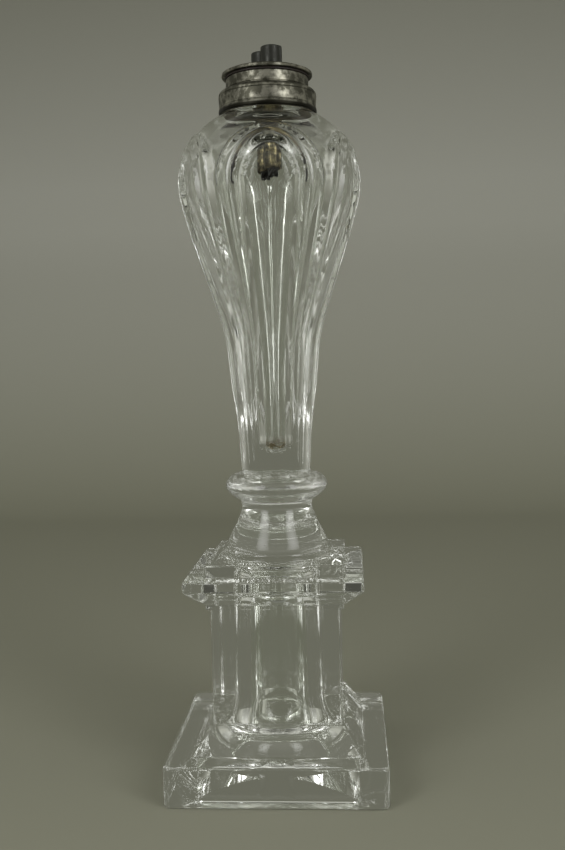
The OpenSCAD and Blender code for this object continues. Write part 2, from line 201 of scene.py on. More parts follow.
# Painted light and shade: the paper's colour turns paler up the wall and darker again high up.
painted_light_up_wall = add(tree, "ShaderNodeMapRange", height, 0.0, 0.35)
tone = add(tree, "ShaderNodeMix", painted_light_up_wall, data_type="RGBA",
           sockets={6: colour(PAPER_FLOOR), 7: colour(PAPER_WALL_PAINTED_LIGHT)})
painted_shade_high_up = add(tree, "ShaderNodeMapRange", height, 0.3, 0.7)
tone = add(tree, "ShaderNodeMix", painted_shade_high_up, data_type="RGBA",
           sockets={6: tone.outputs[2], 7: colour(PAPER_TOP_PAINTED_SHADE)})
tree.links.new(tone.outputs[2], shader.inputs["Base Color"])
rays = add(tree, "ShaderNodeLightPath")
indirect = add(tree, MATH, rays.outputs["Is Transmission Ray"], rays.outputs["Is Glossy Ray"],
               operation="MAXIMUM")
by_windows = add(tree, "ShaderNodeMapRange", add(tree, MATH, aside, operation="ABSOLUTE"), 0.5, 1.6)
tone = add(tree, "ShaderNodeMix", by_windows, data_type="RGBA",
           sockets={6: colour("#6b6b60"), 7: colour("#b0b0a6")})
plain_tone = add(tree, "ShaderNodeEmission", tone.outputs[2], 1.0)
paper_look = add(tree, "ShaderNodeMixShader", indirect, shader, plain_tone)
tree.links.new(paper_look.outputs[0], tree.nodes["Material Output"].inputs["Surface"])

bends = [math.radians(a) for a in np.linspace(0, 90, 25)]
sweep = [(-1.5, PAPER_LOW)]
sweep += [(COVE_START + COVE_RADIUS * math.sin(a), PAPER_LOW + COVE_RADIUS * (1 - math.cos(a)))
          for a in bends]
sweep += [(COVE_START + COVE_RADIUS, 2.0)]
floor = mesh_piece("floor_sweep", [(x, y, z) for y, z in sweep for x in (-3, 3)],
                   [(2 * i, 2 * i + 1, 2 * i + 3, 2 * i + 2) for i in range(len(sweep) - 1)],
                   paper, smooth_angle=60)

SOFT_BOXES = [  # place, width and height in metres, watts, fall-off to the edges
    ((-0.45, -0.60, 0.40), (0.40, 0.90), 2.5, 0.7),
    ((0.53, -0.53, 0.40), (0.40, 0.90), 2.5, 0.7),
]
for place, (width, height), watts, fall_off in SOFT_BOXES:
    light = bpy.data.lights.new("soft_box", "AREA")
    light.shape, light.size, light.size_y, light.energy = "RECTANGLE", width, height, watts
    light.use_nodes = True
    tree = light.node_tree
    on_cloth = add(tree, "ShaderNodeNewGeometry").outputs["Parametric"]
    u, v, _ = add(tree, "ShaderNodeSeparateXYZ", on_cloth).outputs
    bright = float(np.mean(np.sin(np.linspace(0.01, math.pi - 0.01, 200)) ** fall_off) ** -2)
    for across in (u, v):
        wave = add(tree, MATH, add(tree, MATH, across, math.pi, operation="MULTIPLY"), operation="SINE")
        wave = add(tree, MATH, add(tree, MATH, wave, 0.0, operation="MAXIMUM"), fall_off, operation="POWER")
        bright = add(tree, MATH, wave, bright, operation="MULTIPLY")
    tree.links.new(bright.outputs[0], tree.nodes["Emission"].inputs["Strength"])
    holder = bpy.data.objects.new("soft_box", light)
    scene.collection.objects.link(holder)
    holder.location = place
    holder.rotation_euler = (Vector((0, 0, 0.13)) - Vector(place)).to_track_quat("-Z", "Y").to_euler()

scene.world = bpy.data.worlds.new("room")
scene.world.use_nodes = True
sky = scene.world.node_tree
x, y, z = add(sky, "ShaderNodeSeparateXYZ", add(sky, "ShaderNodeTexCoord").outputs["Generated"]).outputs
ceiling = add(sky, "ShaderNodeMapRange", z, 0.0, 0.7)
side_walls = add(sky, "ShaderNodeMapRange", add(sky, MATH, x, operation="ABSOLUTE"), 0.5, 0.9)
room = add(sky, "ShaderNodeMix", side_walls, data_type="RGBA",
           sockets={6: colour("#282824"), 7: colour("#8c8c84")})
room = add(sky, "ShaderNodeMix", ceiling, data_type="RGBA",
           sockets={6: room.outputs[2], 7: colour("#cecec6")})
zenith = add(sky, "ShaderNodeMapRange", z, 0.84, 0.95)
room = add(sky, "ShaderNodeMix", zenith, data_type="RGBA",
           sockets={6: room.outputs[2], 7: colour("#4a4a44")})
straight = add(sky, "ShaderNodeLightPath").outputs["Is Camera Ray"]
seen = add(sky, "ShaderNodeMix", straight, data_type="RGBA",
           sockets={6: room.outputs[2], 7: colour("#7a7a6f")})
sky.links.new(seen.outputs[2], sky.nodes["Background"].inputs["Color"])
scene.view_settings.view_transform = "Standard"
scene.cycles.max_bounces = scene.cycles.transmission_bounces = scene.cycles.glossy_bounces = 32
scene.cycles.use_denoising = True
print("soft boxes:", len(SOFT_BOXES))

# %% [markdown]
# ## The glass
# Flint glass with lead in it, pressed in an iron mould and fire polished. It
# bends light more than window glass, and its skin is never quite flat. The
# mould was cooler than the glass and left broad, shallow waves. The font was
# drawn as it was blown, which left fine streaks that run up and down. The rim of
# the wafer, set hot and by hand, has small chips and grit. All three are bump,
# because they are too shallow to change the outline. In the foot of the cavity
# the last fuel dried to a brown, gritty film, which takes light away and is not
# glossy.

# %% Clear pressed glass
glass, tree, shader = new_material(
    "pressed_flint_glass", Base_Color=colour("#fbfdf9"), Roughness=0.0, IOR=1.54,
    Transmission_Weight=1.0)
where = add(tree, "ShaderNodeTexCoord").outputs["Object"]
x, y, up = add(tree, "ShaderNodeSeparateXYZ", where).outputs
away = add(tree, VECTOR_MATH, add(tree, VECTOR_MATH, where, (1.0, 1.0, 0.0), operation="MULTIPLY"),
           operation="LENGTH").outputs["Value"]


def band(value, low, high, soft):
    """1 between two lengths in mm and 0 outside, with soft ends."""
    begins = add(tree, "ShaderNodeMapRange", value, (low - soft) * MM, (low + soft) * MM)
    ends = add(tree, "ShaderNodeMapRange", value, (high - soft) * MM, (high + soft) * MM, 1.0, 0.0)
    return add(tree, MATH, begins, ends, operation="MULTIPLY")


waves = add(tree, "ShaderNodeTexNoise", sockets={
    "Vector": where, "Scale": 1 / (9 * MM), "Detail": 1.0})
drawn = add(tree, VECTOR_MATH, where, (1.0, 1.0, 0.07), operation="MULTIPLY")
streaks = add(tree, "ShaderNodeTexNoise", sockets={
    "Vector": drawn, "Scale": 1 / (1.8 * MM), "Detail": 1.0})
streaks = add(tree, MATH, streaks.outputs["Fac"], band(up, 124, 206, 6), operation="MULTIPLY")
chips = add(tree, "ShaderNodeTexNoise", sockets={
    "Vector": where, "Scale": 1 / (0.9 * MM), "Detail": 3.0})
on_wafer = add(tree, MATH, band(up, 101.5, 107, 0.8), band(away, 14.2, 20, 0.4),
               operation="MULTIPLY")
in_foot = add(tree, MATH, band(up, 115, 121, 1.4), band(away, -2, 5.2, 0.2),
              operation="MULTIPLY")
rough_places = add(tree, MATH, on_wafer, in_foot, operation="MAXIMUM")
chips = add(tree, MATH, chips.outputs["Fac"], rough_places, operation="MULTIPLY")
skin_bump = None
for height, strength, depth in ((waves.outputs["Fac"], 0.25, 0.15), (streaks, 0.3, 0.06),
                                (chips, 0.5, 0.25)):
    skin_bump = add(tree, "ShaderNodeBump", sockets={
        "Strength": strength, "Distance": depth * MM,
        "Height": height if hasattr(height, "is_output") else height.outputs[0],
        **({"Normal": skin_bump.outputs[0]} if skin_bump else {})})
tree.links.new(skin_bump.outputs[0], shader.inputs["Normal"])
film = add(tree, "ShaderNodeTexNoise", sockets={
    "Vector": where, "Scale": 1 / (1.4 * MM), "Detail": 3.0})
film = add(tree, "ShaderNodeMapRange", film.outputs["Fac"], 0.42, 0.56)
film = add(tree, MATH, film, in_foot, operation="MULTIPLY")
tint = add(tree, "ShaderNodeMix", film, data_type="RGBA",
           sockets={6: colour("#fbfdf9"), 7: colour("#8a744c")})
tree.links.new(tint.outputs[2], shader.inputs["Base Color"])
dull = add(tree, MATH, film, 0.3, operation="MULTIPLY")
tree.links.new(dull.outputs[0], shader.inputs["Roughness"])

# %% [markdown]
# ## Outlines
# Pressed and turned things are drawn as an outline and carried round the
# middle. An outline is a list of points: a size, a height and how much of the
# corner there is rounded away. The size is a radius on a round part, and half
# the side on a square one, where the fourth number is the radius of its
# upright edges.

# %% Rounded outlines and smooth curves
def smooth_curve(points, steps):
    """A smooth curve through all points, with some steps between each pair."""
    p = [np.array(q, float) for q in points]
    out = []
    for i in range(len(p) - 1):
        a, b, c, d = p[max(i - 1, 0)], p[i], p[i + 1], p[min(i + 2, len(p) - 1)]
        for t in np.arange(steps) / steps:
            out.append(0.5 * (2 * b + (c - a) * t + (2 * a - 5 * b + 4 * c - d) * t * t
                              + (3 * b - a - 3 * c + d) * t ** 3))
    return out + [p[-1]]


def soften(outline, steps=4, closed=False):
    """Rounds the corners of an outline of (size, height, cut, upright edge radius)."""
    rings = []
    ends = () if closed else (0, len(outline) - 1)
    for i, (size, height, cut, *edge) in enumerate(outline):
        here = np.array((size, height))
        if not cut or i in ends:
            rings.append((size, height, *edge))
            continue
        legs = []
        for other in (outline[i - 1], outline[(i + 1) % len(outline)]):
            leg = np.array(other[:2]) - here
            legs.append(here + leg / np.linalg.norm(leg) * min(cut, np.linalg.norm(leg) * 0.49))
        for t in np.arange(steps + 1) / steps:
            point = (1 - t) ** 2 * legs[0] + 2 * t * (1 - t) * here + t ** 2 * legs[1]
            rings.append((*point, *edge))
    return rings


# %% [markdown]
# ## Pedestal, wafer and font as one body of glass
# The three were joined hot, so light passes from one to the next as if they
# were one piece. They are therefore built as one closed skin: up the hollow
# that the plunger left, round the mouth under the foot, up the outside and
# down into the font. Each ring of the skin has the same number of points. On
# a square ring they lie along four sides with round corners, on a round ring
# they are evenly spaced, so a ring of one kind joins the next of the other.

# %% Rings of points
LOOPS = 5
RING = 280  # divides by the five loops and by the eight half sides
CORNER_STEPS = 6


def round_ring(radius, height, count=RING, middle=(0, 0)):
    turn = np.arange(count) * 2 * math.pi / count
    return np.column_stack((middle[0] + radius * np.sin(turn), middle[1] - radius * np.cos(turn),
                            np.full(count, float(height))))


def square_ring(half, height, edge):
    """Four sides of half length half, whose corners have the radius edge."""
    eighth = RING // 8
    side = ((np.arange(RING) + eighth) // (2 * eighth)) % 4
    step = (np.arange(RING) + eighth) % (2 * eighth) - eighth
    flat = eighth - CORNER_STEPS
    bend = np.clip((np.abs(step) - flat) / CORNER_STEPS, 0, 1) * math.pi / 4
    x = np.sign(step) * (np.minimum(np.abs(step) / flat, 1) * (half - edge) + edge * np.sin(bend))
    y = -(half - edge) - edge * np.cos(bend)
    c, s = np.cos(side * math.pi / 2), np.sin(side * math.pi / 2)
    return np.column_stack((x * c - y * s, x * s + y * c, np.full(RING, float(height))))


def skin(name, rings, material, poles=None, smooth_angle=None):
    """One closed piece through rings of points in mm. Two end points close it,
    and without them the last ring joins the first."""
    count, size = len(rings), len(rings[0])
    rows = range(count - 1) if poles else range(count)
    faces = [(i * size + k, i * size + (k + 1) % size, (i + 1) % count * size + (k + 1) % size,
              (i + 1) % count * size + k) for i in rows for k in range(size)]
    points = np.concatenate(rings)
    if poles:
        first, last = len(points), len(points) + 1
        points = np.vstack((points, *poles))
        faces += [(first, (k + 1) % size, k) for k in range(size)]
        faces += [(last, (count - 1) * size + k, (count - 1) * size + (k + 1) % size)
                  for k in range(size)]
    return mesh_piece(name, points * MM, faces, material, smooth_angle)


def seal(thing, smooth_angle):
    """Merges doubled points, turns all faces outwards and says how many edges are open."""
    mesh = bmesh.new()
    mesh.from_mesh(thing.data)
    bmesh.ops.remove_doubles(mesh, verts=mesh.verts, dist=0.004 * MM)
    bmesh.ops.dissolve_degenerate(mesh, edges=mesh.edges, dist=0.001 * MM)
    bmesh.ops.recalc_face_normals(mesh, faces=mesh.faces)
    open_edges = sum(len(e.link_faces) != 2 for e in mesh.edges)
    triangles = sum(len(f.verts) - 2 for f in mesh.faces)
    mesh.to_mesh(thing.data)
    mesh.free()
    thing.data.shade_smooth()
    thing.data.set_sharp_from_angle(angle=math.radians(smooth_angle))
    print(f"{thing.name}: {triangles} triangles, {open_edges} open edges")


# %% The plunger hollow and the mouth under the foot
MOUTH_HALF, MOUTH_EDGE = 28.0, 2.6
hollow = [(0.0, 77.6), (4.0, 77.6), (8.0, 77.6)]
hollow += [(10.4 + 5 * math.sin(a), 72.6 + 5 * math.cos(a)) for a in np.linspace(0, math.pi / 2, 10)]
hollow += [(15.5, 66.0), (15.7, 56.0), (15.9, 46.0), (16.1, 38.0)]
throat = [(20.8 - 4.5 * math.sin(a), 30.0 - 10.1 * math.cos(a))
          for a in np.linspace(math.pi / 2, 0, 12)]
shoulder = [(20.8 + 7.2 * math.cos(a), 8.2 + 11.7 * math.sin(a))
            for a in np.linspace(math.pi / 2, 0, 14)]
hollow += throat + shoulder[1:]
hollow += [(28 + (39.6 - 28) * t, 8.2 + (0.8 - 8.2) * t) for t in np.linspace(0, 1, 12)[1:]]


def mouth_ring(radius, height):
    """A round ring of the flare, held in by the four flat sides of the mouth."""
    wall = square_ring(MOUTH_HALF, height, MOUTH_EDGE)
    reach = np.hypot(wall[:, 0], wall[:, 1])
    drop = np.interp(reach, [p[0] for p in hollow[-11:]], [p[1] for p in hollow[-11:]])
    share = np.minimum(radius / reach, 1)
    ring = wall * np.column_stack((share, share, np.ones(RING)))
    ring[:, 2] = np.where(radius > reach, drop, height)
    return ring


# %% The outside of the pedestal, from the foot to the wafer
EDGE = 1.2
pedestal = soften([
    (28.6, 0.0, 0, MOUTH_EDGE), (38.0, 0.0, 1.1, 2.4), (38.0, 14.0, 1.1, 2.4),
    (29.4, 14.0, 0.5, EDGE), (23.5, 23.2, 0.3, EDGE), (22.4, 23.2, 0.4, EDGE),
    (22.4, 64.0, 0.4, EDGE), (23.9, 64.0, 0.3, EDGE), (23.9, 65.5, 0.3, EDGE),
    (30.8, 71.4, 0.6, EDGE), (30.8, 75.0, 0.6, EDGE), (24.2, 75.0, 0.5, EDGE),
    (24.2, 79.4, 0.7, EDGE), (21.6, 79.4, 0, EDGE)])
bell = soften([(20.8, 79.4, 0), (19.9, 79.4, 0.4), (19.9, 81.8, 0.5), (19.2, 82.4, 0.3)])
bell += smooth_curve([(18.6, 83.2), (17.8, 84.6), (16.4, 87.5), (14.6, 91), (13.4, 94),
                      (12.8, 96.2), (12.9, 98.2)], 3)
wafer = smooth_curve([(13.5, 99.4), (15.4, 100.4), (17.2, 101.9), (18.1, 103.4), (18.3, 104.6),
                      (18.0, 105.8), (17.0, 107.2), (15.4, 108.2), (13.6, 108.8), (12.5, 109.3)], 2)
print("rings so far:", len(hollow), len(pedestal), len(bell), len(wafer))

# %% The blank of the font, before the loops are pressed into it
FONT_LOW, FONT_TOP, NECK_TOP = 109.0, 235.6, 241.4
STEM_R, FONT_R, SHOULDER_R, NECK_R, MOUTH_R = 12.3, 30.3, 16.0, 14.6, 12.2
FONT_OUTLINE = [
    (0, 0), (0.055, 0.017), (0.15, 0.056), (0.229, 0.089), (0.316, 0.139), (0.371, 0.178),
    (0.427, 0.261), (0.482, 0.372), (0.541, 0.5), (0.656, 0.756), (0.766, 0.961), (0.8215, 1),
    (0.877, 0.95), (0.916, 0.844), (0.956, 0.65), (0.983, 0.417),
    (1, (SHOULDER_R - STEM_R) / (FONT_R - STEM_R))]
blank = np.array(smooth_curve([(STEM_R + (FONT_R - STEM_R) * s, FONT_LOW + (FONT_TOP - FONT_LOW) * t)
                               for t, s in FONT_OUTLINE], 24))
lengths = np.hypot(*np.diff(blank, axis=0).T)
run = np.append(np.cumsum(lengths[::-1])[::-1], 0)  # along the outline, down from the shoulder
stations = np.concatenate((np.linspace(run[0], 46, 38)[:-1], np.linspace(46, 0, 66)))
font = np.column_stack([np.interp(stations, run[::-1], blank[::-1, k]) for k in (0, 1)])
print("outline of the font is", round(run[0], 1), "mm long, in", len(font), "rings")

# %% The blown cavity
CAVITY_LOW, CAVITY_LOW_R, FONT_WALL = 116.0, 4.0, 4.0
CAVITY_OUTLINE = [
    (0.045, 0), (0.11, 0.025), (0.21, 0.08), (0.32, 0.16), (0.41, 0.28), (0.51, 0.455),
    (0.61, 0.65), (0.7, 0.85), (0.76, 0.965), (0.805, 1), (0.85, 0.975), (0.89, 0.87),
    (0.925, 0.69), (0.95, 0.47)]
wide, tall = FONT_R - FONT_WALL - CAVITY_LOW_R, FONT_TOP - CAVITY_LOW
cavity = [(CAVITY_LOW_R * math.sin(a), CAVITY_LOW + CAVITY_LOW_R * (1 - math.cos(a)))
          for a in np.linspace(0, math.pi / 2, 8)]
cavity += [tuple(p) for p in smooth_curve(
    [(CAVITY_LOW_R + wide * s, CAVITY_LOW + tall * t) for t, s in CAVITY_OUTLINE]
    + [(MOUTH_R, CAVITY_LOW + 0.965 * tall)], 3)]

# %% Stack the rings and close the skin
rings, runs = [], []
for radius, height in hollow[1:]:
    rings.append(mouth_ring(radius, height))
rings.append(square_ring(MOUTH_HALF, 0.3, MOUTH_EDGE))
for size, height, edge in pedestal:
    rings.append(square_ring(size, height, edge))
for radius, height in bell + wafer:
    rings.append(round_ring(radius, height))
runs = [-1.0] * len(rings) + list(stations * MM)
rings += [round_ring(r, z) for r, z in font]
for radius, height in ((SHOULDER_R - 0.5, FONT_TOP + 0.3), (NECK_R, FONT_TOP + 0.4),
                       (NECK_R, NECK_TOP - 0.5), (NECK_R - 0.5, NECK_TOP),
                       (MOUTH_R + 0.5, NECK_TOP), (MOUTH_R, NECK_TOP - 0.5),
                       *cavity[:0:-1]):
    rings.append(round_ring(radius, height))
runs += [-1.0] * (len(rings) - len(runs))

lamp_glass = skin("lamp_glass", rings, glass,
                  poles=((0, 0, hollow[0][1]), (0, 0, cavity[0][1])))
stored = lamp_glass.data.attributes.new("run", "FLOAT", "POINT")
stored.data.foreach_set("value", np.concatenate((np.repeat(runs, RING), (-1.0, -1.0))))
print("skin:", len(rings), "rings")

# %% [markdown]
# ## Pressing the loops
# The mould gave the font five tall loops. Each is a dished panel inside a
# rounded rim, and the rim runs up one side, over an arch and down the other.
# One rule makes all five, so the font is the place for Geometry Nodes. The
# rule asks two things of each point: how far it lies from the middle of its
# loop, as a share of half a loop, and how far it lies below the shoulder along
# the glass. From these come an outer and an inner arch. The rim rises between
# the two, with a groove along its middle that makes it a pair of beads, and the
# panel is hollow inside the inner arch. At the shoulder the relief starts low,
# because the glass had to leave the mould there.

# %% The press
tree, given = new_geometry_tree(
    "press_loops", Loops=LOOPS, Turn=math.radians(4.5), Rim_height=2.8 * MM, Fullness=0.5,
    Groove_share=0.5, Groove_depth=0.6, Panel_depth=0.6 * MM, Panel_share=0.46,
    Outer_crown=13.0 * MM, Outer_head=19.0 * MM, Inner_crown=20.0 * MM, Inner_head=15.0 * MM,
    Crown_from=10.0 * MM, Crown_to=30.0 * MM, Crown_share=0.5, Fade_low=126.0 * MM,
    Fade_high=140.0 * MM, Left_below=0.15, Widest=FONT_R * MM, Thinning=0.8, Glass=glass)
v = given.outputs
xyz = add(tree, "ShaderNodeSeparateXYZ", add(tree, "GeometryNodeInputPosition"))
x, y, z = xyz.outputs
radius = add(tree, MATH, add(tree, MATH, y, y, add(tree, MATH, x, x, operation="MULTIPLY"),
                             operation="MULTIPLY_ADD"), operation="SQRT")
angle = add(tree, MATH, x, add(tree, MATH, y, -1.0, operation="MULTIPLY"), operation="ARCTAN2")
half_loop = add(tree, MATH, math.pi, v["Loops"], operation="DIVIDE")
local = add(tree, MATH, add(tree, MATH, angle, v["Turn"], operation="SUBTRACT"), half_loop,
            add(tree, MATH, half_loop, -1.0, operation="MULTIPLY"), operation="WRAP")
share = add(tree, MATH, add(tree, MATH, local, operation="ABSOLUTE"), half_loop, operation="DIVIDE")
below = add(tree, "GeometryNodeInputNamedAttribute", "run", data_type="FLOAT")

ratios = []
for crown, head, width in (("Outer crown", "Outer head", 1.0),
                           ("Inner crown", "Inner head", v["Panel share"])):
    spring = add(tree, MATH, v[crown], v[head], operation="ADD")
    up = add(tree, MATH, add(tree, MATH, spring, below, operation="SUBTRACT"), v[head],
             operation="DIVIDE")
    up = add(tree, MATH, up, 0.0, operation="MAXIMUM")
    across = add(tree, MATH, share, width, operation="DIVIDE")
    squares = add(tree, MATH, across, across, add(tree, MATH, up, up, operation="MULTIPLY"),
                  operation="MULTIPLY_ADD")
    ratios.append(add(tree, MATH, squares, operation="SQRT"))
outer, inner = ratios
past_inner = add(tree, MATH, add(tree, MATH, inner, 1.0, operation="SUBTRACT"), v["Panel share"],
                 operation="MULTIPLY")
to_outer = add(tree, MATH, 1.0, outer, operation="SUBTRACT")
across_rim = add(tree, MATH, past_inner, add(tree, MATH, past_inner, to_outer, operation="ADD"),
                 operation="DIVIDE", use_clamp=True)
in_loop = add(tree, MATH, outer, 1.0, operation="LESS_THAN")
rim = add(tree, MATH, add(tree, MATH, across_rim, math.pi, operation="MULTIPLY"), operation="SINE")
rim = add(tree, MATH, rim, v["Fullness"], operation="POWER")
off_middle = add(tree, MATH, add(tree, MATH, across_rim, 0.5, operation="SUBTRACT"),
                 add(tree, MATH, v["Groove share"], 0.5, operation="MULTIPLY"), operation="DIVIDE")
groove = add(tree, MATH, 1.0, add(tree, MATH, off_middle, off_middle, operation="MULTIPLY"),
             operation="SUBTRACT", use_clamp=True)
lowered = add(tree, MATH, 1.0, add(tree, MATH, groove, v["Groove depth"], operation="MULTIPLY"),
              operation="SUBTRACT")
rim = add(tree, MATH, rim, lowered, operation="MULTIPLY")
rim = add(tree, MATH, add(tree, MATH, rim, v["Rim height"], operation="MULTIPLY"), in_loop,
          operation="MULTIPLY")
dish = add(tree, MATH, 1.0, add(tree, MATH, inner, inner, operation="MULTIPLY"),
           operation="SUBTRACT", use_clamp=True)
relief = add(tree, MATH, rim, add(tree, MATH, dish, v["Panel depth"], operation="MULTIPLY"),
             operation="SUBTRACT")
on_font = add(tree, MATH, below, 0.0, operation="GREATER_THAN")
fade = add(tree, "ShaderNodeMapRange", z, v["Fade low"], v["Fade high"], v["Left below"], 1.0)
foot = add(tree, "ShaderNodeMapRange", z, FONT_LOW * MM, (FONT_LOW + 4) * MM, 0.0, 1.0)
fade = add(tree, MATH, fade, foot, operation="MULTIPLY")
thin = add(tree, MATH, add(tree, MATH, radius, v["Widest"], operation="DIVIDE"), v["Thinning"],
           operation="POWER")
amount = add(tree, MATH, add(tree, MATH, relief, fade, operation="MULTIPLY"), thin,
             operation="MULTIPLY")
crown = add(tree, "ShaderNodeMapRange", below, v["Crown from"], v["Crown to"], v["Crown share"],
            1.0, interpolation_type="SMOOTHSTEP")
amount = add(tree, MATH, add(tree, MATH, amount, crown, operation="MULTIPLY"), on_font,
             operation="MULTIPLY")
push = add(tree, VECTOR_MATH, add(tree, "GeometryNodeInputNormal"), operation="SCALE",
           sockets={"Scale": amount.outputs[0]})
pressed = add(tree, "GeometryNodeSetPosition", v["Geometry"], sockets={"Offset": push.outputs[0]})
whole = add(tree, "GeometryNodeRealizeInstances", pressed)
dressed = add(tree, "GeometryNodeSetMaterial", whole, sockets={"Material": v["Glass"]})
add(tree, "NodeGroupOutput", dressed)
grow(lamp_glass, tree)
seal(lamp_glass, smooth_angle=32)

# %% Stand the glass in for its three solids
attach(lamp_glass, "root")
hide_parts("pedestal_base", "joining_wafer", "font")

# %% [markdown]
# ## Pewter
# The collar and the burner are pewter, cast and then turned on a lathe. Old
# pewter is dark: a brown-grey skin of oxide has grown over it, and only where
# hands and cloths rubbed does the bare metal show. One noise in broad patches
# says how thick the skin is, and it drives the colour and the roughness
# together. The tool of the lathe left fine rings, which are bump. Where the
# collar meets the glass, and inside its neck, the metal is painted nearly
# black as painted shade.

# %% Metals under a patchy skin
def measure(node):
    """Lowest and highest point, radius and middle of a round solid, in mm."""
    (x0, y0, z0), (x1, y1, z1) = ((float(c) / MM for c in corner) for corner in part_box(node))
    return z0, z1, (x1 - x0) / 2, ((x0 + x1) / 2, (y0 + y1) / 2)


_, DISC_LOW, WASHER_R, _ = measure("leather_washer")


def aged_metal(name, bare, skin_tone, bare_roughness, skin_roughness, patch, bare_share, rings=0):
    """Bare metal under an oxide skin in patches of some size in mm. rings is the
    spacing of the turning marks in mm."""
    material, tree, shader = new_material(name, Metallic=1.0)
    where = add(tree, "ShaderNodeTexCoord").outputs["Object"]
    broad = add(tree, "ShaderNodeTexNoise", sockets={
        "Vector": where, "Scale": 1 / (patch * MM), "Detail": 6.0, "Roughness": 0.62})
    covered = add(tree, "ShaderNodeMapRange", broad.outputs["Fac"], bare_share - 0.08,
                  bare_share + 0.08)
    tone = add(tree, "ShaderNodeMix", covered, data_type="RGBA",
               sockets={6: colour(bare), 7: colour(skin_tone)})
    tree.links.new(tone.outputs[2], shader.inputs["Base Color"])
    rough = add(tree, "ShaderNodeMapRange", covered, 0.0, 1.0, bare_roughness, skin_roughness)
    tree.links.new(rough.outputs[0], shader.inputs["Roughness"])
    pits = add(tree, "ShaderNodeTexNoise", sockets={
        "Vector": where, "Scale": 1 / (0.6 * MM), "Detail": 3.0})
    bump = add(tree, "ShaderNodeBump", sockets={
        "Strength": 0.4, "Distance": 0.05 * MM, "Height": pits.outputs["Fac"]})
    if rings:
        level = add(tree, VECTOR_MATH, where, (1.0, 1.0, 0.0), operation="MULTIPLY")
        away = add(tree, VECTOR_MATH, level, operation="LENGTH").outputs["Value"]
        up = add(tree, "ShaderNodeSeparateXYZ", where).outputs["Z"]
        lines = add(tree, "ShaderNodeTexNoise", noise_dimensions="1D", sockets={
            "W": add(tree, MATH, away, up, operation="ADD").outputs[0],
            "Scale": 1 / (rings * MM), "Detail": 2.0})
        bump = add(tree, "ShaderNodeBump", sockets={
            "Strength": 0.3, "Distance": 0.03 * MM, "Height": lines.outputs["Fac"],
            "Normal": bump.outputs[0]})
    tree.links.new(bump.outputs[0], shader.inputs["Normal"])
    return material, tree, shader


pewter, tree, shader = aged_metal("tarnished_pewter", "#949285", "#4c4b41", 0.36, 0.46, patch=4,
                                  bare_share=0.47, rings=0.35)
where = add(tree, "ShaderNodeTexCoord").outputs["Object"]
up = add(tree, "ShaderNodeSeparateXYZ", where).outputs["Z"]
away = add(tree, VECTOR_MATH, add(tree, VECTOR_MATH, where, (1.0, 1.0, 0.0), operation="MULTIPLY"),
           operation="LENGTH").outputs["Value"]
# Painted shade: inside the collar's neck, on the burner plug in it, and at the bottom of the skirt where it meets the
# glass, the pewter is painted nearly black.
in_the_neck = add(tree, MATH, band(away, -2, 11.8, 0.1), band(up, 180, DISC_LOW - 0.1, 0.1),
                  operation="MULTIPLY")
on_the_glass = band(up, FONT_TOP - 2, FONT_TOP + 1.5, 0.5)
painted_shade_places = add(tree, MATH, in_the_neck, on_the_glass, operation="MAXIMUM")
oxide = shader.inputs["Base Color"].links[0].from_socket
painted_shade_tone = add(tree, "ShaderNodeMix", painted_shade_places, data_type="RGBA",
            sockets={6: oxide, 7: colour("#22211b")})
tree.links.new(painted_shade_tone.outputs[2], shader.inputs["Base Color"])

# %% [markdown]
# ## Turned pieces and their screw thread
# The collar, the washer, the plaster and the burner were made round. Each is an
# outline of (radius, height, cut), where the cut rounds a corner, carried round
# an upright axis.
#
# The plug of the burner screws into the neck of the collar. Both threads are
# one rule: along a screw line the metal stands out by the depth of the thread,
# and the line climbs by one pitch in a turn. So each barrel is turned plain,
# with rings close together, and Geometry Nodes push its points in or out. The
# thread runs out softly at both ends, as one cut on a lathe does.

# %% Turn an outline, and cut a thread on a barrel
def lathe(name, outline, material, middle=(0, 0), count=160, smooth_angle=35):
    """Turns an outline. One that starts on the axis ends there, any other closes on itself."""
    solid = outline[0][0] == 0
    profile = soften(outline, closed=not solid)
    poles = [(*middle, profile[k][1]) for k in (0, -1)] if solid else None
    if solid:
        profile = profile[1:-1]
    thing = skin(name, [round_ring(r, z, count, middle) for r, z in profile], material, poles)
    seal(thing, smooth_angle)
    return thing


def barrel(radius, from_height, to_height):
    """A plain stretch of an outline in steps short enough to carry a thread."""
    steps = round(abs(to_height - from_height) / 0.15)
    return [(radius, z, 0) for z in np.linspace(from_height, to_height, steps + 1)]


